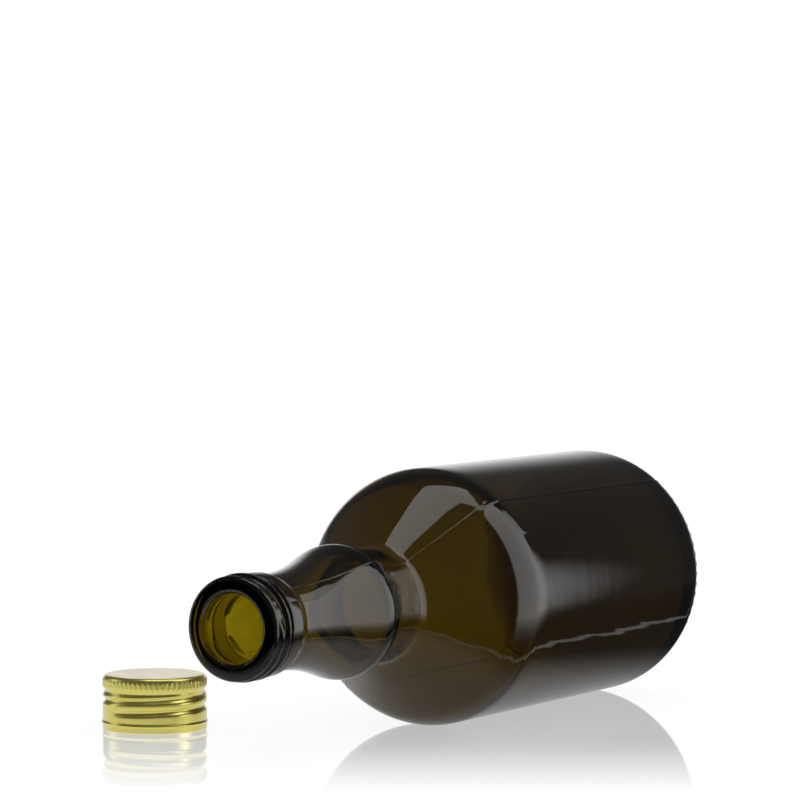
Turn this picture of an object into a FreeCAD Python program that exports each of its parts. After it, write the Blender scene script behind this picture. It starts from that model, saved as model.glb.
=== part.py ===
"""An empty screw-neck glass bottle lying on its side, with its aluminium cap standing beside the neck.

Millimetres, +Z up. The bottle lies along X with its mouth towards -X. The origin is the middle of
the narrow flat under the bottle's body, so everything rests on the plane Z = 0.
"""
import FreeCAD, Part
import math
import os

import Sketcher
from FreeCAD import Placement, Rotation, Vector

doc = FreeCAD.newDocument("ScrewNeckBottle")

# ---- driving dimensions ------------------------------------------------------------------------
# Stations along the bottle are measured from its base ("at" values) or from its mouth ("below").
DIMENSIONS = {
    # overall
    "bottle_length": 196.2,      # base to mouth
    "body_radius": 34.5,
    "body_wall": 3.0,
    "rest_flat_width": 5.0,      # the narrow flat the bottle lies on
    # base
    "base_wall": 7.0,
    "push_up_depth": 5.0,        # how far the middle of the base stands in
    "push_up_slope": 10.5,       # ring between the push-up's level top and the bearing ring
    "push_up_round": 8.0,
    "bearing_land": 2.0,         # standing ring between the push-up and the heel
    "bearing_round": 2.0,
    "heel_round": 11.0,
    "heel_round_inside": 8.0,
    # shoulder: where straight lines of the outline would meet, measured from the mouth
    "shoulder_below": 89.7,      # body and shoulder cone
    "shoulder_round": 15.0,
    "foot_below": 68.0,          # shoulder cone and foot of the neck
    "foot_radius": 15.0,
    "foot_round": 4.0,
    # neck
    "bulge_foot_below": 56.6,    # the foot turns up into the bulge
    "bulge_foot_round": 3.0,
    "bulge_below": 49.5,         # the bulge's two flanks
    "bulge_peak_radius": 18.1,
    "bulge_round": 9.5,
    "neck_below": 31.7,          # the bulge's long flank and the slim neck
    "neck_peak_radius": 12.9,
    "neck_round": 70.0,
    "neck_end_step": 1.3,        # the collar stands out from the end of the neck
    "neck_wall": 3.0,
    # finish: the moulded end that takes the cap
    "root_radius": 12.5,         # glass under the thread
    "root_top_below": 2.1,
    "root_round": 0.4,
    "lip_step": 0.65,            # lip stands out from the root
    "lip_round": 1.2,
    "collar_step": 0.7,          # collar stands out from the root
    "collar_below": 12.9,        # underside of the collar
    "collar_top_below": 8.2,
    "collar_round": 0.6,
    "finish_wall": 3.7,          # from the bore to the root of the thread
    "bore_round": 1.2,
    "bore_depth": 10.2,          # the straight bore, before the neck opens out inside
    # thread: a trapezoid ridge, right-handed
    "thread_pitch": 3.175,
    "thread_turns": 1.5,
    "thread_height": 1.0,        # how far the ridge stands out from the root
    "thread_base": 2.2,          # ridge width at the root
    "thread_crest": 0.7,         # ridge width at the top
    "thread_sink": 0.25,         # how deep the ridge is rooted in the wall
    "thread_first_below": 2.95,  # middle of the ridge where it starts
    "thread_start_turn": 285.0,  # degrees round the bottle to the start of the ridge
    # cap: screws over the thread with these clearances
    "cap_clearance": 0.05,       # thread crest to the cap's plain inside
    "groove_clearance": 0.3,     # root of the bottle's thread to the cap's rolled thread
    "cap_wall": 0.3,
    "cap_height": 14.4,
    "cap_edge_round": 1.1,
    "cap_corner_round": 0.3,
    "band_step": 0.15,           # knurled band, between its ribs, stands in from the skirt
    "band_bottom": 11.2,
    "waist_step": 0.65,          # ring groove under the band stands in from the skirt
    "waist_half": 1.0,           # half its width along the cap
    "bead_step": 0.35,           # bead near the rim stands out from the skirt
    "bead_at": 1.85,
    "bead_half": 0.55,
    "rib_count": 62,
    "rib_step": 0.2,             # ribs stand out from the band
    "rib_width": 0.65,
    "rib_length": 1.9,
    "rib_sink": 0.1,
    "groove_width": 1.5,
    "groove_taper": 0.35,        # each side of the groove slopes in by this much
    "groove_turns": 1.45,
    "groove_first_at": 4.95,     # height of the groove where it starts
    "groove_start_turn": 154.5,
    "groove_cover_turn": 0.015,  # the inner ridge reaches past each end of the groove
    # where the cap stands
    "cap_back": 53.5,            # from the mouth, back along the bottle
    "cap_gap": 10.8,             # between the bottle's side and the cap
}

# Sizes that follow from the driving ones.
DERIVED = {
    "push_up_inside": "=push_up_depth + base_wall",
    "bearing_radius": "=body_radius - heel_round - bearing_land",
    "push_up_radius": "=bearing_radius - push_up_slope",
    "cavity_radius": "=body_radius - body_wall",
    "shoulder_at": "=bottle_length - shoulder_below",
    "foot_at": "=bottle_length - foot_below",
    "bulge_foot_at": "=bottle_length - bulge_foot_below",
    "bulge_at": "=bottle_length - bulge_below",
    "neck_at": "=bottle_length - neck_below",
    "collar_at": "=bottle_length - collar_below",
    "collar_top_at": "=bottle_length - collar_top_below",
    "bore_end_at": "=bottle_length - bore_depth",
    # the inside corners of shoulder, foot and bulge sit a little along from the outside ones
    "shoulder_inside_at": "=shoulder_at - 0.4 * body_wall",
    "shoulder_round_inside": "=shoulder_round - body_wall",
    "foot_inside_at": "=foot_at - 0.4 * neck_wall",
    "foot_radius_inside": "=foot_radius - neck_wall",
    "foot_round_inside": "=foot_round + neck_wall",
    "bulge_foot_inside_at": "=bulge_foot_at + 0.3 * neck_wall",
    "bulge_foot_round_inside": "=bulge_foot_round + neck_wall",
    "bulge_radius_inside": "=bulge_peak_radius - 1.1 * neck_wall",
    "bulge_round_inside": "=bulge_round - 0.5 * neck_wall",
    "neck_radius_inside": "=neck_peak_radius - neck_wall",
    # finish
    "bore_radius": "=root_radius - finish_wall",
    "lip_radius": "=root_radius + lip_step",
    "collar_radius": "=root_radius + collar_step",
    "neck_end_radius": "=collar_radius - neck_end_step",
    "crest_radius": "=root_radius + thread_height",
    "thread_foot_radius": "=root_radius - thread_sink",
    "root_top_at": "=bottle_length - root_top_below",
    "lip_bottom_at": "=root_top_at + lip_step",
    "root_bottom_at": "=collar_top_at + collar_step",
    "thread_first_at": "=bottle_length - thread_first_below",
    "thread_base_low": "=thread_first_at - thread_base / 2",
    "thread_base_high": "=thread_first_at + thread_base / 2",
    "thread_crest_low": "=thread_first_at - thread_crest / 2",
    "thread_crest_high": "=thread_first_at + thread_crest / 2",
    # cap
    "skirt_inside": "=crest_radius + cap_clearance",
    "skirt_radius": "=skirt_inside + cap_wall",
    "band_radius": "=skirt_radius - band_step",
    "band_inside": "=band_radius - cap_wall",
    "waist_radius": "=skirt_radius - waist_step",
    "waist_inside": "=waist_radius - cap_wall",
    "waist_at": "=band_bottom - waist_half",
    "waist_low": "=waist_at - waist_half",
    "bead_radius": "=skirt_radius + bead_step",
    "bead_inside": "=bead_radius - cap_wall",
    "bead_low": "=bead_at - bead_half",
    "bead_high": "=bead_at + bead_half",
    "cap_ceiling": "=cap_height - cap_wall",
    "cap_edge_inside": "=cap_edge_round - cap_wall",
    "rib_outer": "=band_radius + rib_step",
    "rib_inner": "=band_radius - rib_sink",
    "rib_half": "=rib_width / 2",
    "rib_bottom": "=band_bottom + cap_corner_round / 2",
    "ridge_radius": "=root_radius + groove_clearance",
    "groove_radius": "=ridge_radius + cap_wall",
    "groove_outer": "=skirt_radius + cap_clearance",
    "ridge_outer": "=skirt_inside + cap_clearance",
    "groove_low": "=groove_first_at - groove_width / 2",
    "groove_high": "=groove_first_at + groove_width / 2",
    "groove_floor_low": "=groove_low + groove_taper",
    "groove_floor_high": "=groove_high - groove_taper",
    "ridge_first_at": "=groove_first_at - groove_cover_turn * thread_pitch",
    "ridge_low": "=ridge_first_at - groove_width / 2 - cap_wall",
    "ridge_high": "=ridge_first_at + groove_width / 2 + cap_wall",
    "ridge_floor_low": "=ridge_low + groove_taper",
    "ridge_floor_high": "=ridge_high - groove_taper",
    "ridge_turns": "=groove_turns + 2 * groove_cover_turn",
    "ridge_start_turn": "=groove_start_turn - 360 * groove_cover_turn",
    # places
    "cone_angle": "=atan((body_radius - foot_radius) / (foot_at - shoulder_at))",
    "flat_end_at": "=shoulder_at - shoulder_round * tan(cone_angle / 2)",
    "rest_middle": "=(heel_round + flat_end_at) / 2",
    "rest_height": "=sqrt(body_radius * body_radius - rest_flat_width * rest_flat_width / 4)",
    "cap_x": "=rest_middle - bottle_length + cap_back",
    "cap_y": "=body_radius + cap_gap + bead_radius",
}

sheet = doc.addObject("Spreadsheet::Sheet", "Sizes")
for row, (name, value) in enumerate(list(DIMENSIONS.items()) + list(DERIVED.items()), start=1):
    sheet.set(f"A{row}", name)
    sheet.set(f"B{row}", str(value))
    sheet.setAlias(f"B{row}", name)
doc.recompute()


def size(name):
    """The present value of a named cell; "0" stands for the axis or the base plane."""
    value = 0.0 if name == "0" else sheet.get(name)
    return float(getattr(value, "Value", value))


# ---- sketch helpers ----------------------------------------------------------------------------
def origin_plane(body, role):
    """One of the body's own origin planes or axes."""
    return next(item for item in body.Origin.OriginFeatures if item.Role == role)


def new_sketch(body, name, plane="XZ_Plane"):
    """An empty sketch on one of the body's origin planes."""
    sketch = body.newObject("Sketcher::SketchObject", name)
    sketch.AttachmentSupport = [(origin_plane(body, plane), "")]
    sketch.MapMode = "FlatFace"
    return sketch


def bind(sketch, constraint, name, expression):
    """Add a driving constraint, name it and tie it to the sheet."""
    index = sketch.addConstraint(constraint)
    sketch.renameConstraint(index, name)
    sketch.setExpression(f"Constraints.{name}", expression)


def pin_point(sketch, geometry, end, label, across, up):
    """Hold one sketch point at two named sizes; "0" puts it on the matching sketch axis."""
    for kind, axis, cell in (("DistanceX", -2, across), ("DistanceY", -1, up)):
        if cell == "0":
            sketch.addConstraint(Sketcher.Constraint("PointOnObject", geometry, end, axis))
        else:
            held = Sketcher.Constraint(kind, -1, 1, geometry, end, size(cell))
            bind(sketch, held, f"{label}_{kind[-1]}", f"Sizes.{cell}")


def corner_arc(before, corner, after, radius):
    """Entry point, exit point, centre and turning sense of an arc that rounds one corner."""
    inward = (before - corner).normalize()
    outward = (after - corner).normalize()
    half_angle = inward.getAngle(outward) / 2
    reach = radius / math.tan(half_angle)
    bisector = (inward + outward).normalize()
    centre = corner + bisector * (radius / math.sin(half_angle))
    turns_left = inward.cross(outward).z < 0
    return corner + inward * reach, corner + outward * reach, centre, turns_left


def draw_outline(sketch, corners):
    """A closed outline of straight lines through named corners, each rounded if it names a radius.

    Each corner is (across, up, round): names of cells, "0" for an axis, None for a sharp corner.
    """
    points = [Vector(size(across), size(up), 0) for across, up, _ in corners]
    count = len(corners)
    entries, exits, arcs = [], [], []
    for i, (_, _, rounding) in enumerate(corners):
        if rounding is None:
            entries.append(points[i])
            exits.append(points[i])
            arcs.append(None)
            continue
        entry, leave, centre, turns_left = corner_arc(
            points[i - 1], points[i], points[(i + 1) % count], size(rounding))
        entries.append(entry)
        exits.append(leave)
        first, last = (entry, leave) if turns_left else (leave, entry)
        start = math.atan2(first.y - centre.y, first.x - centre.x)
        stop = math.atan2(last.y - centre.y, last.x - centre.x)
        if stop < start:
            stop += 2 * math.pi
        circle = Part.Circle(centre, Vector(0, 0, 1), size(rounding))
        arcs.append((sketch.addGeometry(Part.ArcOfCircle(circle, start, stop)), turns_left))
    lines = [sketch.addGeometry(Part.LineSegment(exits[i], entries[(i + 1) % count]))
             for i in range(count)]
    for i, (across, up, rounding) in enumerate(corners):
        into, out_of = lines[i - 1], lines[i]
        if arcs[i] is None:
            sketch.addConstraint(Sketcher.Constraint("Coincident", into, 2, out_of, 1))
            pin_point(sketch, out_of, 1, f"corner{i}", across, up)
            continue
        arc, turns_left = arcs[i]
        near, far = (1, 2) if turns_left else (2, 1)
        sketch.addConstraint(Sketcher.Constraint("Tangent", into, 2, arc, near))
        sketch.addConstraint(Sketcher.Constraint("Tangent", out_of, 1, arc, far))
        bind(sketch, Sketcher.Constraint("Radius", arc, size(rounding)), f"round{i}",
             f"Sizes.{rounding}")
        mark = sketch.addGeometry(Part.Point(points[i]), True)
        sketch.addConstraint(Sketcher.Constraint("PointOnObject", mark, 1, into))
        sketch.addConstraint(Sketcher.Constraint("PointOnObject", mark, 1, out_of))
        pin_point(sketch, mark, 1, f"corner{i}", across, up)


def rectangle(sketch, near, far, half):
    """A rectangle from one size to another across and to half its width either side of the axis.

    Each is an expression of the sheet; near may be "0" for a side that lies on the other axis.
    """
    reach = {key: 0.0 if key == "0" else size(key) for key in (near, far, half)}
    low, high, side = reach[near], reach[far], reach[half]
    points = [Vector(low, side, 0), Vector(low, -side, 0), Vector(high, -side, 0),
              Vector(high, side, 0)]
    edges = [sketch.addGeometry(Part.LineSegment(points[i], points[(i + 1) % 4]))
             for i in range(4)]
    for i in range(4):
        following = edges[(i + 1) % 4]
        sketch.addConstraint(Sketcher.Constraint("Coincident", edges[i], 2, following, 1))
    for edge, kind in zip(edges[1:], ("Horizontal", "Vertical", "Horizontal")):
        sketch.addConstraint(Sketcher.Constraint(kind, edge))
    sketch.addConstraint(Sketcher.Constraint("Symmetric", edges[0], 1, edges[0], 2, -1))
    pin_point(sketch, edges[2], 2, "far_corner", far, half)
    if near == "0":
        sketch.addConstraint(Sketcher.Constraint("PointOnObject", edges[0], 1, -2))
    else:
        held = Sketcher.Constraint("DistanceX", -1, 1, edges[0], 1, low)
        bind(sketch, held, "near_side", f"Sizes.{near}")


def revolve(body, sketch, name, axis):
    """Turn a half section fully round one of its sketch axes."""
    turned = body.newObject("PartDesign::Revolution", name)
    turned.Profile = sketch
    turned.ReferenceAxis = (sketch, [axis])
    turned.Angle = 360
    return turned


def polygon(sketch, corners):
    """A closed outline with sharp corners at named sizes."""
    draw_outline(sketch, [(across, up, None) for across, up in corners])


def helix(body, kind, name, sketch, axis, turns, reverse):
    """Wind a sketch about one of its axes, adding to the body or cutting it."""
    wound = body.newObject(kind, name)
    wound.Profile = sketch
    wound.ReferenceAxis = (sketch, [axis])
    wound.Mode = "pitch-turns-angle"
    wound.setExpression("Pitch", "Sizes.thread_pitch")
    wound.setExpression("Turns", f"Sizes.{turns}")
    wound.Angle = 0
    wound.LeftHanded = False
    wound.Reversed = reverse
    wound.HasBeenEdited = True
    return wound


# ---- the bottle --------------------------------------------------------------------------------
# Its sketch runs along the bottle from the base (0) to the mouth, with radii upwards.
BOTTLE_SECTION = [
    # outside, from the middle of the base to the mouth
    ("push_up_depth", "0", None),
    ("push_up_depth", "push_up_radius", "push_up_round"),
    ("0", "bearing_radius", "bearing_round"),
    ("0", "body_radius", "heel_round"),
    ("shoulder_at", "body_radius", "shoulder_round"),
    ("foot_at", "foot_radius", "foot_round"),
    ("bulge_foot_at", "foot_radius", "bulge_foot_round"),
    ("bulge_at", "bulge_peak_radius", "bulge_round"),
    ("neck_at", "neck_peak_radius", "neck_round"),
    ("collar_at", "neck_end_radius", None),
    ("collar_at", "collar_radius", "collar_round"),
    ("collar_top_at", "collar_radius", "root_round"),
    ("root_bottom_at", "root_radius", "root_round"),
    ("root_top_at", "root_radius", "root_round"),
    ("lip_bottom_at", "lip_radius", "root_round"),
    ("bottle_length", "lip_radius", "lip_round"),
    # inside, from the mouth back to the base
    ("bottle_length", "bore_radius", "bore_round"),
    ("bore_end_at", "bore_radius", "neck_wall"),
    ("neck_at", "neck_radius_inside", "neck_round"),
    ("bulge_at", "bulge_radius_inside", "bulge_round_inside"),
    ("bulge_foot_inside_at", "foot_radius_inside", "bulge_foot_round_inside"),
    ("foot_inside_at", "foot_radius_inside", "foot_round_inside"),
    ("shoulder_inside_at", "cavity_radius", "shoulder_round_inside"),
    ("base_wall", "cavity_radius", "heel_round_inside"),
    ("base_wall", "bearing_radius", "bearing_round"),
    ("push_up_inside", "push_up_radius", "push_up_round"),
    ("push_up_inside", "0", None),
]


def make_bottle():
    """One piece of glass: base, body, shoulder, bulged neck and threaded finish."""
    body = doc.addObject("PartDesign::Body", "Bottle")
    body.Label = "bottle"
    section = new_sketch(body, "BottleSection")
    draw_outline(section, BOTTLE_SECTION)
    revolve(body, section, "Glass", "H_Axis")

    ridge = new_sketch(body, "ThreadSection")
    turn = Rotation(Vector(1, 0, 0), size("thread_start_turn"))
    ridge.AttachmentOffset = Placement(Vector(), turn)
    ridge.setExpression("AttachmentOffset.Rotation.Angle", "Sizes.thread_start_turn")
    polygon(ridge, [
        ("thread_base_low", "thread_foot_radius"),
        ("thread_base_high", "thread_foot_radius"),
        ("thread_crest_high", "crest_radius"),
        ("thread_crest_low", "crest_radius"),
    ])
    helix(body, "PartDesign::AdditiveHelix", "Thread", ridge, "H_Axis", "thread_turns", True)

    # a plane just inside the body's lowest line trims the narrow flat it lies on
    trim = new_sketch(body, "RestSection", "XY_Plane")
    trim.setExpression("AttachmentOffset.Base.z", "-Sizes.rest_height")
    rectangle(trim, "0", "shoulder_at", "body_radius")
    flat = body.newObject("PartDesign::Pocket", "RestFlat")
    flat.Profile = trim
    flat.setExpression("Length", "Sizes.body_radius")

    body.Placement = Placement(Vector(), Rotation(Vector(0, 0, 1), 180))
    body.setExpression("Placement.Base.x", "Sizes.rest_middle")
    body.setExpression("Placement.Base.z", "Sizes.rest_height")
    return body


# ---- the cap -----------------------------------------------------------------------------------
# Its sketch has radii across and heights up from the open rim.
CAP_SECTION = [
    # outside, from the rim to the middle of the top
    ("skirt_radius", "0", None),
    ("skirt_radius", "bead_low", "cap_corner_round"),
    ("bead_radius", "bead_at", "cap_corner_round"),
    ("skirt_radius", "bead_high", "cap_corner_round"),
    ("skirt_radius", "waist_low", "cap_corner_round"),
    ("waist_radius", "waist_at", "cap_corner_round"),
    ("band_radius", "band_bottom", "cap_corner_round"),
    ("band_radius", "cap_height", "cap_edge_round"),
    ("0", "cap_height", None),
    # inside, back to the rim
    ("0", "cap_ceiling", None),
    ("band_inside", "cap_ceiling", "cap_edge_inside"),
    ("band_inside", "band_bottom", "cap_corner_round"),
    ("waist_inside", "waist_at", "cap_corner_round"),
    ("skirt_inside", "waist_low", "cap_corner_round"),
    ("skirt_inside", "bead_high", "cap_corner_round"),
    ("bead_inside", "bead_at", "cap_corner_round"),
    ("skirt_inside", "bead_low", "cap_corner_round"),
    ("skirt_inside", "0", None),
]


def make_cap():
    """A pressed aluminium screw cap: knurled band, ring groove, rolled thread, skirt and bead."""
    body = doc.addObject("PartDesign::Body", "Cap")
    body.Label = "cap"
    section = new_sketch(body, "CapSection")
    draw_outline(section, CAP_SECTION)
    revolve(body, section, "Shell", "V_Axis")

    # the rolled thread is a ridge inside the skirt with a matching groove outside
    ridge = new_sketch(body, "RidgeSection")
    ridge.AttachmentOffset = Placement(Vector(), Rotation(Vector(0, 1, 0), 1))
    ridge.setExpression("AttachmentOffset.Rotation.Angle", "Sizes.ridge_start_turn")
    polygon(ridge, [
        ("ridge_outer", "ridge_low"),
        ("ridge_outer", "ridge_high"),
        ("ridge_radius", "ridge_floor_high"),
        ("ridge_radius", "ridge_floor_low"),
    ])
    helix(body, "PartDesign::AdditiveHelix", "Ridge", ridge, "V_Axis", "ridge_turns", False)
    groove = new_sketch(body, "GrooveSection")
    groove.AttachmentOffset = Placement(Vector(), Rotation(Vector(0, 1, 0), 1))
    groove.setExpression("AttachmentOffset.Rotation.Angle", "Sizes.groove_start_turn")
    polygon(groove, [
        ("groove_outer", "groove_low"),
        ("groove_outer", "groove_high"),
        ("groove_radius", "groove_floor_high"),
        ("groove_radius", "groove_floor_low"),
    ])
    helix(body, "PartDesign::SubtractiveHelix", "Groove", groove, "V_Axis", "groove_turns", False)

    # one rib of the knurling, then the rest of the ring
    foot = new_sketch(body, "RibSection", "XY_Plane")
    foot.setExpression("AttachmentOffset.Base.z", "Sizes.rib_bottom")
    rectangle(foot, "rib_inner", "rib_outer", "rib_half")
    rib = body.newObject("PartDesign::Pad", "Rib")
    rib.Profile = foot
    rib.setExpression("Length", "Sizes.rib_length")
    doc.recompute()
    knurl = body.newObject("PartDesign::PolarPattern", "Knurl")
    knurl.Originals = [rib]
    knurl.Axis = (origin_plane(body, "Z_Axis"), [""])
    knurl.Angle = 360
    knurl.setExpression("Occurrences", "Sizes.rib_count")
    body.Tip = knurl

    body.setExpression("Placement.Base.x", "Sizes.cap_x")
    body.setExpression("Placement.Base.y", "Sizes.cap_y")
    return body


# ---- build, check and write --------------------------------------------------------------------
bottle = make_bottle()
cap = make_cap()
doc.recompute()

for item in doc.Objects:
    if "Invalid" in item.State or "Error" in item.State:
        raise RuntimeError(f"{item.Name} failed: {item.State}")
os.makedirs("parts", exist_ok=True)
for body in (bottle, cap):
    shape = body.Shape
    if shape.isNull() or not shape.isValid() or len(shape.Solids) != 1:
        raise RuntimeError(f"{body.Label} is not one valid solid")
    shape.exportStep(f"parts/{body.Label}.step")
    print(body.Label, "cubic millimetres:", round(shape.Volume, 1))
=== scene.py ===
# %% [markdown]
# # An olive glass bottle on its side and its gold screw cap
#
# The real object is an empty bottle of very dark olive glass that lies on its side, and the
# rolled aluminium cap that belongs on it, which stands beside the neck. The frame holds both
# as plain solids in their true size. Here each gets the surface the real one has: a blown
# glass wall with mould seams, and a pressed, knurled and lacquered metal shell.

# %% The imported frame
import math

import bmesh
import bpy
from mathutils import Matrix, Vector, noise


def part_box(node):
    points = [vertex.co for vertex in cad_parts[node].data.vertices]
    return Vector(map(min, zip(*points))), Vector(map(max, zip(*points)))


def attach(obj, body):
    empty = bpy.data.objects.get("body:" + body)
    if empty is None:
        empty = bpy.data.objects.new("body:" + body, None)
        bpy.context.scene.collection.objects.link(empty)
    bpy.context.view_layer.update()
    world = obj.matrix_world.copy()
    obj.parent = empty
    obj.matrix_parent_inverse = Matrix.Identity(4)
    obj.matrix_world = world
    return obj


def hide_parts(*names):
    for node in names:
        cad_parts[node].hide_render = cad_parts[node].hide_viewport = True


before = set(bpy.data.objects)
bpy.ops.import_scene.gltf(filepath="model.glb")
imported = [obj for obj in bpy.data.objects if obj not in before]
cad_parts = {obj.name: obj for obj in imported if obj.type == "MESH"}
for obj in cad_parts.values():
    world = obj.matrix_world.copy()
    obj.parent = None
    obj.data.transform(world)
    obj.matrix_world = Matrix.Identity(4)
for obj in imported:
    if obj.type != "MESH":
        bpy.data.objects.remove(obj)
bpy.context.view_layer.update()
scene = bpy.context.scene
scene.view_settings.view_transform = "Standard"

# %% [markdown]
# ## Camera
#
# A long lens from far away keeps the bottle's outline nearly free of perspective. The camera
# stands low, a little above the bottle, and looks down by under three degrees.

# %% Camera
MM = 0.001
AHEAD = Vector((0.8595, 0.5111, 0.0)).normalized()
PITCH = math.radians(2.65)
CAMERA_PLACE = Vector((-906.8, -504.0, 133.2)) * MM

camera_data = bpy.data.cameras.new("StudioCamera")
camera_data.lens = 168.65
camera_data.sensor_width = 36.0
camera = bpy.data.objects.new("StudioCamera", camera_data)
camera.location = CAMERA_PLACE
aim = AHEAD * math.cos(PITCH) - Vector((0, 0, math.sin(PITCH)))
camera.rotation_euler = aim.to_track_quat("-Z", "Y").to_euler()
scene.collection.objects.link(camera)
scene.camera = camera
print("camera looks along", tuple(round(value, 3) for value in aim))

# %% [markdown]
# ## From an outline to a turned body
#
# Bottle and cap are round things, so each can be drawn as half a section and turned about its
# axis. The section is a row of vertices with one at each corner. Bevelling a vertex by
# radius times tan(turn / 2) puts an arc of that radius there, just as a fillet does.

# %% Section helpers
DEGREES_PER_SEGMENT = 5
FEWEST_SEGMENTS = 3
SAME_PLACE = 1e-6


def draw_section(mesh, corners, place):
    """Join the corners in a row and round each one that has a radius, all in millimetres."""
    row = [mesh.verts.new(place(first, second)) for first, second, _ in corners]
    for pair in zip(row, row[1:]):
        mesh.edges.new(pair)
    for vert, (_, _, radius) in zip(row, corners):
        if not radius:
            continue
        arms = [edge.other_vert(vert).co - vert.co for edge in vert.link_edges]
        turn = math.pi - arms[0].angle(arms[1])
        segments = max(FEWEST_SEGMENTS, round(math.degrees(turn) / DEGREES_PER_SEGMENT))
        bmesh.ops.bevel(mesh, geom=[vert], offset=radius * MM * math.tan(turn / 2),
                        offset_type="OFFSET", segments=segments,
                        profile=0.5, affect="VERTICES", material=-1)


def divide_long_edges(mesh, longest):
    """Cut every edge of the section into equal parts no longer than longest(middle)."""
    for edge in list(mesh.edges):
        middle = (edge.verts[0].co + edge.verts[1].co) / 2
        cuts = math.ceil(edge.calc_length() / (longest(middle) * MM) - 1e-6) - 1
        if cuts > 0:
            bmesh.ops.subdivide_edges(mesh, edges=[edge], cuts=cuts)


def turn_round(mesh, centre, axis, steps):
    """Spin the section fully round, close its poles and point its faces outwards."""
    bmesh.ops.spin(mesh, geom=mesh.verts[:] + mesh.edges[:], cent=centre, axis=axis,
                   angle=2 * math.pi, steps=steps, use_merge=True)
    bmesh.ops.remove_doubles(mesh, verts=mesh.verts[:], dist=SAME_PLACE)
    bmesh.ops.recalc_face_normals(mesh, faces=mesh.faces[:])


def to_object(mesh, name):
    """Store a finished bmesh as an object at the origin, shaded smooth."""
    data = bpy.data.meshes.new(name)
    for face in mesh.faces:
        face.smooth = True
    mesh.to_mesh(data)
    mesh.free()
    item = bpy.data.objects.new(name, data)
    scene.collection.objects.link(item)
    print(name, "triangles", sum(len(face.vertices) - 2 for face in data.polygons))
    return item


def ease(value):
    """0 below 0, 1 above 1 and a smooth step between."""
    value = min(max(value, 0.0), 1.0)
    return value * value * (3 - 2 * value)

# %% [markdown]
# ## The glass wall
#
# The bottle is blown in a two-part mould. Outside it takes the mould's shape, inside the air
# shapes it, so the wall is one closed surface with an outer and an inner skin. The section
# runs from the middle of the base along the outside to the mouth and back along the inside.
# The base, the mouth and the axis come from the frame's box: the base at its high end, the mouth
# at its low. The other stations are given in millimetres from the base.

# %% Bottle section
bottle_low, bottle_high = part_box("bottle")
BODY_RADIUS = 34.5
BASE_X = bottle_high.x
MOUTH_X = bottle_low.x
AXIS_Z = bottle_high.z - BODY_RADIUS * MM
LENGTH = (BASE_X - MOUTH_X) / MM
SEAM = Vector((0.0, -0.637, 0.771)).normalized()
ROOT_RADIUS = 12.5
HEEL_RIBS = 72

OUTSIDE = [
    # (from the base, radius, rounding)
    (5.0, 0.0, 0), (5.0, 11.0, 8.0), (0.0, 21.5, 2.0), (0.0, BODY_RADIUS, 11.0),
    (106.5, BODY_RADIUS, 15.0), (128.2, 15.0, 4.0), (139.6, 15.0, 3.0), (146.7, 18.1, 9.5),
    (164.5, 12.9, 70.0), (183.3, 11.9, 0), (183.3, 13.2, 0.6), (188.0, 13.2, 0.4),
    (188.7, ROOT_RADIUS, 0.4), (194.1, ROOT_RADIUS, 0.4), (194.75, 13.15, 0.4), (196.2, 13.15, 1.2),
]
INSIDE = [
    (196.2, 8.8, 1.2), (186.0, 8.8, 3.0), (164.5, 9.9, 70.0), (146.7, 14.8, 8.0),
    (140.5, 12.0, 6.0), (127.0, 12.0, 7.0), (105.3, 31.5, 12.0), (7.0, 31.5, 8.0),
    (7.0, 21.5, 2.0), (12.0, 11.0, 8.0), (12.0, 0.0, 0),
]


def bottle_place(along, radius):
    return Vector((BASE_X - along * MM, 0.0, AXIS_Z)) + SEAM * radius * MM


FINE_SPACING = 0.22
PLAIN_SPACING = 4.5
FINE_DEPTH = 8.3
INNER_LIMIT = 11.0
STEPS_PER_HEEL_RIB = 4


def bottle_spacing(middle):
    """Fine on the outside where the thread will be raised, coarse everywhere else."""
    outside = (middle - Vector((middle.x, 0, AXIS_Z))).length > INNER_LIMIT * MM
    depth = (middle.x - MOUTH_X) / MM
    return FINE_SPACING if outside and depth < FINE_DEPTH else PLAIN_SPACING


glass = bmesh.new()
draw_section(glass, OUTSIDE + INSIDE, bottle_place)
divide_long_edges(glass, bottle_spacing)
print("section vertices", len(glass.verts), "length", round(LENGTH, 2))
turn_round(glass, (0, 0, AXIS_Z), (1, 0, 0), HEEL_RIBS * STEPS_PER_HEEL_RIB)

# %% [markdown]
# ## Mould seams
#
# Where the two halves of the mould meet, a hair of glass stands out along both sides of the
# bottle. The section was drawn in that plane, so the meridian edges already lie there. A
# narrow bevel along them gives three close lines, and the middle one is lifted.

# %% Mould seams
def from_axis(point):
    """The part of a point that stands off the bottle's axis."""
    return Vector((0.0, point.y, point.z - AXIS_Z))


SEAM_SIDE = Vector((1, 0, 0)).cross(SEAM)
SEAM_HALF_WIDTH = 0.16 * MM
SEAM_HEIGHT = 0.10 * MM
SEAM_FROM = 6.0
SEAM_TO = 183.0

seam_edges = []
for edge in glass.edges:
    ends = [vert.co for vert in edge.verts]
    if max(abs(from_axis(end).dot(SEAM_SIDE)) for end in ends) > 1e-6:
        continue
    faces_out = sum(face.normal.dot(from_axis(ends[0])) for face in edge.link_faces) > 0
    stations = [(BASE_X - end.x) / MM for end in ends]
    if faces_out and SEAM_FROM < min(stations) and max(stations) < SEAM_TO:
        seam_edges.append(edge)
before = set(glass.verts)
bmesh.ops.bevel(glass, geom=seam_edges, offset=SEAM_HALF_WIDTH, offset_type="OFFSET",
                segments=2, profile=0.5, affect="EDGES", material=-1)
raised = 0
for vert in glass.verts:
    radial = from_axis(vert.co)
    if vert not in before and abs(radial.dot(SEAM_SIDE)) < 0.02 * MM:
        vert.co += radial.normalized() * SEAM_HEIGHT
        raised += 1
print("seam edges", len(seam_edges), "raised", raised)

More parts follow.
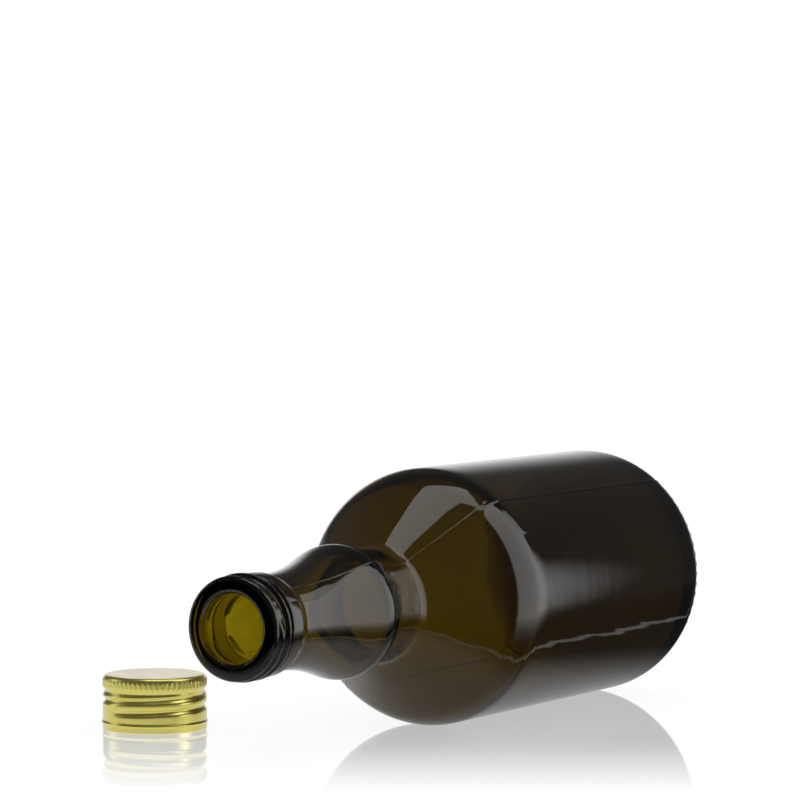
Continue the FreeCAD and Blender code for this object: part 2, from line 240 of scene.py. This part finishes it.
# %% [markdown]
# ## Thread, stippled heel and uneven wall
#
# The thread is part of the same glass, so it is raised out of the finish and not laid on it:
# each vertex there moves out as far as the winding ridge asks. The heel carries a ring of
# short ribs that keep the hot bottle off the belt. The inside is shaped by air and not by the
# mould, so it is never quite even: a slow ripple on the inner skin makes what is seen through
# it waver. Last, whatever the turned shape has below the table is pressed flat against it.

# %% Thread, heel ribs and ripple
PITCH_MM = 3.175
THREAD_TURNS = 1.5
THREAD_FIRST = 2.95
THREAD_START = math.radians(165.0)
THREAD_FADE = 0.06
RIDGE_FOOT = 1.1
RIDGE_FLANK = 0.75
THREAD_ZONE = (1.5, 9.2)
OUTER_SKIN = 11.5
HEEL_HEIGHT = 6.0
HEEL_ZONE = (27.0, 34.0)
HEEL_FADE_IN = 1.5
HEEL_RIB_HEIGHT = 0.28
RIPPLE_SCALE = 28.0
RIPPLE_HEIGHT = 0.22
RIPPLE_ZONE = (14.0, 124.0)
RIPPLE_FADE = 12.0


def thread_height(depth, angle):
    """How far the ridge stands out at this depth below the mouth and angle round the axis."""
    lead = ((angle - THREAD_START) % (2 * math.pi)) / (2 * math.pi)
    height = 0.0
    for turn in (lead, lead + 1.0):
        ends = ease(turn / THREAD_FADE) * ease((THREAD_TURNS - turn) / THREAD_FADE)
        away = abs(depth - THREAD_FIRST - PITCH_MM * turn)
        height = max(height, ends * ease((RIDGE_FOOT - away) / RIDGE_FLANK))
    return height


for vert in glass.verts:
    radial = from_axis(vert.co)
    radius = radial.length / MM
    if radius < 0.5:
        continue
    radial.normalize()
    along = (BASE_X - vert.co.x) / MM
    depth = LENGTH - along
    angle = math.atan2(radial.z, radial.y)
    faces_out = vert.normal.dot(radial) > 0
    if THREAD_ZONE[0] < depth < THREAD_ZONE[1] and radius > OUTER_SKIN:
        target = ROOT_RADIUS + thread_height(depth, angle)
        vert.co += radial * max(0.0, target - radius) * MM
    if along < HEEL_HEIGHT and HEEL_ZONE[0] < radius < HEEL_ZONE[1]:
        rib = 0.5 + 0.5 * math.cos(HEEL_RIBS * angle)
        band = ease((radius - HEEL_ZONE[0]) / HEEL_FADE_IN) * ease(HEEL_ZONE[1] - radius)
        vert.co += radial * HEEL_RIB_HEIGHT * rib * band * MM
    if not faces_out and RIPPLE_ZONE[0] < along < RIPPLE_ZONE[1]:
        start = ease((along - RIPPLE_ZONE[0]) / RIPPLE_FADE)
        fade = start * ease((RIPPLE_ZONE[1] - along) / RIPPLE_FADE)
        vert.co += radial * RIPPLE_HEIGHT * noise.noise(vert.co * RIPPLE_SCALE) * fade * MM
    vert.co.z = max(vert.co.z, 0.0)
bmesh.ops.recalc_face_normals(glass, faces=glass.faces[:])
bottle = to_object(glass, "glass_bottle")
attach(bottle, "root")
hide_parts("bottle")

# %% [markdown]
# ## The cap
#
# A roll-on cap is drawn from thin aluminium sheet: a flat top with a rounded edge, a knurled
# band to grip, a ring groove, the thread that is rolled on over the bottle's own, a plain
# skirt and a bead above the open rim. The sheet has the same thickness everywhere, so the
# section goes down the outside and back up the inside, and the thread moves both skins.

# %% Cap section
cap_low, cap_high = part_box("cap")
CAP_CENTRE = Vector(((cap_low.x + cap_high.x) / 2, (cap_low.y + cap_high.y) / 2, 0.0))
SKIRT = 13.85
SHEET = 0.3
CAP_HEIGHT = cap_high.z / MM
RIBS = 62

CAP_OUTSIDE = [
    # (radius, height, rounding)
    (0.0, CAP_HEIGHT, 0), (SKIRT - 0.15, CAP_HEIGHT, 1.1), (SKIRT - 0.15, 11.2, 0.3),
    (SKIRT - 0.65, 10.2, 0.5), (SKIRT, 9.2, 0.5), (SKIRT, 2.4, 0.3),
    (SKIRT + 0.35, 1.85, 0.3), (SKIRT, 1.3, 0.3), (SKIRT, 0.0, 0.1),
]
CAP_INSIDE = [
    (SKIRT - SHEET, 0.0, 0.1), (SKIRT - SHEET, 1.3, 0.3), (SKIRT + 0.35 - SHEET, 1.85, 0.3),
    (SKIRT - SHEET, 2.4, 0.3), (SKIRT - SHEET, 9.2, 0.5), (SKIRT - 0.65 - SHEET, 10.2, 0.5),
    (SKIRT - 0.15 - SHEET, 11.2, 0.3), (SKIRT - 0.15 - SHEET, CAP_HEIGHT - SHEET, 0.8),
    (0.0, CAP_HEIGHT - SHEET, 0),
]


def cap_place(radius, height):
    return CAP_CENTRE + Vector((radius, 0.0, height)) * MM


WALL_SPACING = 0.34
TOP_SPACING = 1.6
WALL_FROM = 13.0
STEPS_PER_RIB = 6


def cap_spacing(middle):
    """Fine on the wall, coarse on the flat top."""
    wall = (middle - Vector((CAP_CENTRE.x, CAP_CENTRE.y, middle.z))).length > WALL_FROM * MM
    return WALL_SPACING if wall else TOP_SPACING


shell = bmesh.new()
draw_section(shell, CAP_OUTSIDE + CAP_INSIDE, cap_place)
divide_long_edges(shell, cap_spacing)
print("cap section vertices", len(shell.verts))
turn_round(shell, tuple(CAP_CENTRE), (0, 0, 1), RIBS * STEPS_PER_RIB)

# %% [markdown]
# ## Knurling and the rolled thread
#
# Sixty-two short ribs stand out of the band. The rolled groove starts low on the side and
# climbs to the right for almost one and a half turns, fading in and out where the roller
# was pressed in and lifted.

# %% Knurling and groove
GROOVE_FIRST = 4.95
GROOVE_TURNS = 1.45
GROOVE_START = math.radians(154.5)
GROOVE_DEPTH = 0.72
GROOVE_HALF_WIDTH = 1.15
GROOVE_FADE = 0.08
GROOVE_BELOW = 10.4
INNER_ROOM = 0.3
OUTER_ROOM = 0.6
WALL_INSIDE = 12.5
KNURL_ZONE = (11.2, 13.6)
KNURL_FADE_IN = 0.25
KNURL_FADE_OUT = 0.5
KNURL_HEIGHT = 0.2
KNURL_SHARPNESS = 0.9


def groove_depth(height, angle):
    """How far the rolled thread presses the wall in at this height and angle."""
    lead = ((angle - GROOVE_START) % (2 * math.pi)) / (2 * math.pi)
    depth = 0.0
    for turn in (lead, lead + 1.0):
        ends = ease(turn / GROOVE_FADE) * ease((GROOVE_TURNS - turn) / GROOVE_FADE)
        away = abs(height - GROOVE_FIRST - PITCH_MM * turn)
        depth = max(depth, ends * ease(1.0 - away / GROOVE_HALF_WIDTH))
    return depth * GROOVE_DEPTH


for vert in shell.verts:
    radial = Vector((vert.co.x - CAP_CENTRE.x, vert.co.y - CAP_CENTRE.y, 0.0))
    radius = radial.length / MM
    if radius < WALL_INSIDE:
        continue
    radial.normalize()
    height = vert.co.z / MM
    angle = math.atan2(radial.y, radial.x)
    outer = vert.normal.dot(radial) > 0
    if height < GROOVE_BELOW:
        room = max(0.0, radius - (ROOT_RADIUS + (OUTER_ROOM if outer else INNER_ROOM)))
        vert.co -= radial * min(groove_depth(height, angle), room) * MM
    elif outer and KNURL_ZONE[0] < height < KNURL_ZONE[1]:
        rib = ease(0.5 + KNURL_SHARPNESS * math.cos(RIBS * angle))
        band = ease((height - KNURL_ZONE[0]) / KNURL_FADE_IN)
        band *= ease((KNURL_ZONE[1] - height) / KNURL_FADE_OUT)
        vert.co += radial * KNURL_HEIGHT * rib * band * MM
bmesh.ops.recalc_face_normals(shell, faces=shell.faces[:])
cap = to_object(shell, "screw_cap")
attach(cap, "root")
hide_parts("cap")

# %% [markdown]
# ## Node helpers
#
# Every material is a small graph. A few helpers keep the cells short: they add a node with its
# settings, do sums on sockets, map one range to another, measure along a direction and mix
# two shaders.

# %% Node helpers
def add(tree, kind, **inputs):
    """Add a node and set the sockets named with underscores for spaces."""
    node = tree.nodes.new(kind)
    for name, value in inputs.items():
        node.inputs[name.replace("_", " ")].default_value = value
    return node


def new_material(name):
    """An empty material with an output node."""
    material = bpy.data.materials.new(name)
    material.use_nodes = True
    material.node_tree.nodes.clear()
    return material, material.node_tree, material.node_tree.nodes.new("ShaderNodeOutputMaterial")


def math_node(tree, operation, first, second=None, third=None):
    """A Math node on sockets or plain numbers; returns its output."""
    node = tree.nodes.new("ShaderNodeMath")
    node.operation = operation
    for socket, value in zip(node.inputs, (first, second, third)):
        if isinstance(value, bpy.types.NodeSocket):
            tree.links.new(value, socket)
        elif value is not None:
            socket.default_value = value
    return node.outputs["Value"]


def ramp(tree, value, low, high, start=0.0, end=1.0):
    """Smoothly map value from low..high to start..end."""
    node = tree.nodes.new("ShaderNodeMapRange")
    node.interpolation_type = "SMOOTHSTEP"
    tree.links.new(value, node.inputs["Value"])
    for name, number in (("From Min", low), ("From Max", high), ("To Min", start), ("To Max", end)):
        node.inputs[name].default_value = number
    return node.outputs["Result"]


def measure_along(tree, socket, direction):
    """The dot product of a vector socket with a fixed direction."""
    node = tree.nodes.new("ShaderNodeVectorMath")
    node.operation = "DOT_PRODUCT"
    node.inputs[1].default_value = direction
    tree.links.new(socket, node.inputs[0])
    return node.outputs["Value"]


def mix_shaders(tree, share, first, second):
    """Mix two shader sockets; share is a socket or a plain number."""
    node = tree.nodes.new("ShaderNodeMixShader")
    if isinstance(share, bpy.types.NodeSocket):
        tree.links.new(share, node.inputs["Fac"])
    else:
        node.inputs["Fac"].default_value = share
    tree.links.new(first, node.inputs[1])
    tree.links.new(second, node.inputs[2])
    return node.outputs["Shader"]

# %% [markdown]
# ## Fine unevenness, shared by glass and metal
#
# Both surfaces are smooth but not perfect: glass keeps faint ripples from the cold mould,
# and rolled metal keeps fine lines round it. One group makes both: noise stretched by a
# scale along each axis, as a height for a Bump node.

# %% Unevenness group
def make_unevenness():
    """Noise on Object coordinates with its own scale along each axis, put out as a height."""
    group = bpy.data.node_groups.new("Unevenness", "ShaderNodeTree")
    stretch = group.interface.new_socket("Stretch", in_out="INPUT", socket_type="NodeSocketVector")
    stretch.default_value = (100.0, 100.0, 100.0)
    detail = group.interface.new_socket("Detail", in_out="INPUT", socket_type="NodeSocketFloat")
    detail.default_value = 2.0
    group.interface.new_socket("Height", in_out="OUTPUT", socket_type="NodeSocketFloat")
    enter = group.nodes.new("NodeGroupInput")
    leave = group.nodes.new("NodeGroupOutput")
    place = group.nodes.new("ShaderNodeTexCoord")
    scaled = group.nodes.new("ShaderNodeVectorMath")
    scaled.operation = "MULTIPLY"
    pattern = add(group, "ShaderNodeTexNoise", Scale=1.0)
    group.links.new(place.outputs["Object"], scaled.inputs[0])
    group.links.new(enter.outputs["Stretch"], scaled.inputs[1])
    group.links.new(scaled.outputs["Vector"], pattern.inputs["Vector"])
    group.links.new(enter.outputs["Detail"], pattern.inputs["Detail"])
    group.links.new(pattern.outputs["Fac"], leave.inputs["Height"])
    return group


unevenness = make_unevenness()
print("group", unevenness.name, "nodes", len(unevenness.nodes))


def place_unevenness(tree, stretch, detail):
    node = tree.nodes.new("ShaderNodeGroup")
    node.node_tree = unevenness
    node.inputs["Stretch"].default_value = stretch
    node.inputs["Detail"].default_value = detail
    return node.outputs["Height"]

# %% [markdown]
# ## Dark olive glass
#
# The colour of bottle glass is in its body and not on its surface: a thin wall looks yellow
# olive, two walls brown, and a long way through the base almost black. A clear refracting
# surface with an absorbing volume gives all three from one setting.

# %% Glass material
def make_glass():
    material, tree, output = new_material("olive_glass")
    surface = add(tree, "ShaderNodeBsdfPrincipled", Roughness=0.02, IOR=1.52, Metallic=0.0,
                  Transmission_Weight=1.0, Base_Color=(1.0, 1.0, 1.0, 1.0))
    ripple = place_unevenness(tree, (240.0, 60.0, 60.0), 3.0)
    bump = add(tree, "ShaderNodeBump", Strength=0.25, Distance=0.00004)
    tree.links.new(ripple, bump.inputs["Height"])
    tree.links.new(bump.outputs["Normal"], surface.inputs["Normal"])
    absorb = add(tree, "ShaderNodeVolumeAbsorption", Color=(0.7444, 0.70, 0.11, 1.0),
                 Density=1800.0)
    tree.links.new(surface.outputs["BSDF"], output.inputs["Surface"])
    tree.links.new(absorb.outputs["Volume"], output.inputs["Volume"])
    return material


bottle.data.materials.append(make_glass())
print("glass_bottle has", bottle.data.materials[0].name)

# %% [markdown]
# ## Satin gold lacquer
#
# The cap is aluminium under a transparent gold lacquer. It reflects like metal, softly,
# because the sheet keeps the fine lines of rolling and turning.

# %% Cap material
def make_gold():
    material, tree, output = new_material("satin_gold")
    surface = add(tree, "ShaderNodeBsdfPrincipled", Metallic=1.0, Roughness=0.3,
                  Base_Color=(0.86, 0.76, 0.18, 1.0), Coat_Weight=0.8, Coat_Roughness=0.12,
                  Coat_IOR=1.5)
    lines = place_unevenness(tree, (500.0, 500.0, 9000.0), 2.0)
    bump = add(tree, "ShaderNodeBump", Strength=0.3, Distance=0.00002)
    tree.links.new(lines, bump.inputs["Height"])
    tree.links.new(bump.outputs["Normal"], surface.inputs["Normal"])
    spread = ramp(tree, place_unevenness(tree, (160.0, 160.0, 1200.0), 3.0), 0.3, 0.7, 0.27, 0.35)
    tree.links.new(spread, surface.inputs["Roughness"])
    tree.links.new(surface.outputs["BSDF"], output.inputs["Surface"])
    return material


cap.data.materials.append(make_gold())
print("screw_cap has", cap.data.materials[0].name)

# %% [markdown]
# ## Floor
#
# The table is glossy white acrylic. Seen at a low angle it mirrors what stands on it, and
# the mirror image fades towards the front. It glows white, and a matt share takes the shadow.
#
# Polished surfaces are given another floor than the camera, with painted light and shade for
# reflections: it glows pale beside the bottle and round the cap, darker to the right and in
# front, with one bright painted wavy line that only reflections show, and a mirror further out.
# What is seen through the glass is plain white.

# %% Floor as the camera sees it
GLOW_SHARE = 0.8
MIRROR_ALONG = (-0.185, -0.062)
MIRROR_SHARE = (0.04, 1.0)
MIRROR_REACH = (0.45, 0.25)


def seen_floor(tree, mirror, toward, reach):
    """White acrylic whose mirror image grows from front to back and ends away from the object."""
    matt = add(tree, "ShaderNodeBsdfDiffuse", Color=(0.95, 0.95, 0.95, 1.0))
    glow = add(tree, "ShaderNodeEmission", Strength=1.1)
    plain = mix_shaders(tree, GLOW_SHARE, matt.outputs["BSDF"], glow.outputs["Emission"])
    fresnel = add(tree, "ShaderNodeFresnel", IOR=1.85)
    fade = ramp(tree, toward, *MIRROR_ALONG, *MIRROR_SHARE)
    near = ramp(tree, reach, *MIRROR_REACH)
    amount = math_node(tree, "MULTIPLY", fresnel.outputs["Fac"], fade)
    amount = math_node(tree, "MULTIPLY", amount, near)
    return mix_shaders(tree, amount, plain, mirror)

# %% Floor as polished surfaces show it, with painted reflections
# Painted light and shade for reflections: where the floor glows pale, where it stays dark, and the
# painted wavy line.
PAINTED_FIELD_SLANT = -0.19
PAINTED_FIELD_EDGE = (-0.044, -0.016)
PAINTED_FIELD_LEVEL = (0.04, 0.44)
PAINTED_FRONT_EDGE = (-0.25, -0.15)
PAINTED_FAR_EDGE = (0.005, 0.035)
PAINTED_FAR_LEVEL = (0.0, 0.28)
PAINTED_LINE_SWAY = 0.016
PAINTED_LINE_PLACE = 0.041
PAINTED_LINE_WIDTH = (0.0028, 0.0006)
PAINTED_LINE_LEVEL = (0.0, 0.5)
POLISH_EDGE = (-0.056, -0.16)
POLISH_SHARE = (0.0, 0.95)


def painted_reflection_floor(tree, mirror, toward, split, path):
    """A painted glowing field, its painted wavy line and the mirror beyond them."""
    # Painted light: the floor glows by position, for polished surfaces only, and shows as painted
    # reflections on glass and cap.
    slant = math_node(tree, "MULTIPLY_ADD", split.outputs["X"], PAINTED_FIELD_SLANT, split.outputs["Y"])
    front = ramp(tree, toward, *PAINTED_FRONT_EDGE)
    painted_glow = math_node(tree, "MULTIPLY", ramp(tree, slant, *PAINTED_FIELD_EDGE, *PAINTED_FIELD_LEVEL), front)
    far_side = ramp(tree, split.outputs["Y"], *PAINTED_FAR_EDGE, *PAINTED_FAR_LEVEL)
    painted_glow = math_node(tree, "MULTIPLY_ADD", far_side, front, painted_glow)
    # Painted highlight: a bright wavy line of glow on the floor that only reflections show.
    sway = place_unevenness(tree, (70.0, 20.0, 20.0), 2.0)
    wavy = math_node(tree, "MULTIPLY_ADD", sway, PAINTED_LINE_SWAY, PAINTED_LINE_PLACE)
    away = math_node(tree, "ABSOLUTE", math_node(tree, "ADD", split.outputs["Y"], wavy))
    painted_glow = math_node(tree, "MAXIMUM", painted_glow, ramp(tree, away, *PAINTED_LINE_WIDTH, *PAINTED_LINE_LEVEL))
    painted_glow = math_node(tree, "MAXIMUM", painted_glow, path.outputs["Is Transmission Ray"])
    # This emission is painted light on the floor, not a lamp.
    painted_light = tree.nodes.new("ShaderNodeEmission")
    tree.links.new(painted_glow, painted_light.inputs["Strength"])
    polish = ramp(tree, split.outputs["Y"], *POLISH_EDGE, *POLISH_SHARE)
    polish = math_node(tree, "MULTIPLY", polish, path.outputs["Is Glossy Ray"])
    return mix_shaders(tree, polish, painted_light.outputs["Emission"], mirror)

# %% Floor
FLOOR_HALF = 20.0


def make_floor():
    material, tree, output = new_material("white_floor_with_painted_reflections")
    path = tree.nodes.new("ShaderNodeLightPath")
    place = tree.nodes.new("ShaderNodeTexCoord").outputs["Object"]
    split = tree.nodes.new("ShaderNodeSeparateXYZ")
    tree.links.new(place, split.inputs["Vector"])
    toward = measure_along(tree, place, AHEAD)
    reach = tree.nodes.new("ShaderNodeVectorMath")
    reach.operation = "LENGTH"
    tree.links.new(place, reach.inputs[0])
    mirror = add(tree, "ShaderNodeBsdfGlossy", Color=(1.0, 1.0, 1.0, 1.0),
                 Roughness=0.03).outputs["BSDF"]
    seen = seen_floor(tree, mirror, toward, reach.outputs["Value"])
    # Polished surfaces see the painted reflections and the mirror; the camera sees the white floor.
    painted_and_mirrored = painted_reflection_floor(tree, mirror, toward, split, path)
    both = mix_shaders(tree, path.outputs["Is Camera Ray"], painted_and_mirrored, seen)
    tree.links.new(both, output.inputs["Surface"])
    return material


slab = bmesh.new()
bmesh.ops.create_grid(slab, x_segments=1, y_segments=1, size=FLOOR_HALF)
floor = to_object(slab, "floor")
floor.data.materials.append(make_floor())

# %% [markdown]
# ## Backdrop
#
# The backdrop is white wherever the camera or clear glass looks. Polished surfaces show a
# white field behind the bottle and dark walls all round, as in a studio with black screens.
# The field lies in a fixed direction, so it stays in its place when the camera moves.

# %% World
FIELD_SIDES = (0.86, 0.97)
FIELD_TOP = (0.42, 0.08)
WALL_DARKNESS = 0.915
FRONT_WALL = (0.906, -0.423, 0.0)
FRONT_WALL_EDGE = (0.90, 0.99)
FRONT_WALL_LIFT = (0.0, -0.01)
MATT_DIM = 0.2


def make_world():
    world = bpy.data.worlds.new("Studio")
    world.use_nodes = True
    tree = world.node_tree
    tree.nodes.clear()
    path = tree.nodes.new("ShaderNodeLightPath")
    way = tree.nodes.new("ShaderNodeTexCoord").outputs["Generated"]
    height = tree.nodes.new("ShaderNodeSeparateXYZ")
    tree.links.new(way, height.inputs["Vector"])
    behind = ramp(tree, measure_along(tree, way, AHEAD), *FIELD_SIDES)
    low = ramp(tree, height.outputs["Z"], *FIELD_TOP)
    screen = math_node(tree, "MULTIPLY", behind, low)
    dark = math_node(tree, "MULTIPLY_ADD", screen, -WALL_DARKNESS, WALL_DARKNESS)
    lift = ramp(tree, measure_along(tree, way, FRONT_WALL), *FRONT_WALL_EDGE, *FRONT_WALL_LIFT)
    dark = math_node(tree, "MAXIMUM", math_node(tree, "ADD", dark, lift), 0.0)
    less = math_node(tree, "MULTIPLY", path.outputs["Is Glossy Ray"], dark)
    dim = math_node(tree, "MULTIPLY", path.outputs["Is Diffuse Ray"], MATT_DIM)
    strength = math_node(tree, "SUBTRACT", math_node(tree, "SUBTRACT", 1.0, less), dim)
    background = add(tree, "ShaderNodeBackground", Color=(1.0, 1.0, 1.0, 1.0))
    tree.links.new(strength, background.inputs["Strength"])
    output = tree.nodes.new("ShaderNodeOutputWorld")
    tree.links.new(background.outputs["Background"], output.inputs["Surface"])
    return world


scene.world = make_world()
print("world", scene.world.name, "nodes", len(scene.world.node_tree.nodes))

# %% [markdown]
# ## Soft boxes
#
# Glowing panels light the object and show in its polish: a tall one to the right with a short
# wing, a smaller one overhead and a weak reflector at the left. A lamp would give a round or
# hard-edged highlight. A panel can fade at its edges, where it turns clear and not dark.

# %% Soft boxes
def soft_box(name, centre, across, up, strength, side_fade, lower_fade):
    """A glowing panel that fades over a share of its width at both sides and of its height below."""
    panel = bmesh.new()
    bmesh.ops.create_grid(panel, x_segments=1, y_segments=1, size=0.5)
    facing = across.cross(up).normalized()
    place = Matrix((across, up, facing)).transposed().to_4x4()
    place.translation = centre
    bmesh.ops.transform(panel, matrix=place, verts=panel.verts[:])
    item = to_object(panel, name)
    material, tree, output = new_material(name)
    glow = add(tree, "ShaderNodeEmission", Strength=strength)
    point = tree.nodes.new("ShaderNodeTexCoord")
    shares = []
    for side in (across, up):
        along = measure_along(tree, point.outputs["Object"], side / side.length_squared)
        middle = centre.dot(side) / side.length_squared
        shares.append(math_node(tree, "SUBTRACT", along, middle))
    away = math_node(tree, "ABSOLUTE", shares[0])
    wide = ramp(tree, away, 0.5, 0.5 - side_fade)
    tall = ramp(tree, shares[1], -0.5, -0.5 + lower_fade)
    clear = tree.nodes.new("ShaderNodeBsdfTransparent")
    soft = mix_shaders(tree, math_node(tree, "MULTIPLY", wide, tall), clear.outputs["BSDF"],
                       glow.outputs["Emission"])
    tree.links.new(soft, output.inputs["Surface"])
    item.data.materials.append(material)
    item.visible_camera = False
    item.visible_transmission = False
    item.visible_shadow = False


def heading(azimuth):
    """A level direction, in degrees anticlockwise from +X."""
    return Vector((math.cos(math.radians(azimuth)), math.sin(math.radians(azimuth)), 0.0))


UP = Vector((0, 0, 1))
PANEL_AWAY = 0.8
PANEL_STRENGTH = 1.75
NO_FADE = 0.0001
ALONG_WALL = heading(31)
RIGHT_WALL = heading(-59) * PANEL_AWAY + Vector((-0.065, 0.0, 0.0))

soft_box("box_right", RIGHT_WALL + UP * 0.86, ALONG_WALL * 1.01, UP * 1.82, PANEL_STRENGTH,
         0.11, NO_FADE)
soft_box("box_wing", RIGHT_WALL * 0.97 + ALONG_WALL * 0.48 + UP * 0.70, ALONG_WALL * 0.25,
         UP * 0.46, 1.2, 0.04, 0.06)
soft_box("box_above", Vector((-0.04, 0.0, 0.85)), heading(-38.5) * 0.60, heading(51.5) * 0.41,
         PANEL_STRENGTH, 0.06, 0.06)
soft_box("card_left", heading(112) * PANEL_AWAY + UP * 0.25, heading(22) * 0.42, UP * 0.5,
         0.9, 0.3, 0.1)
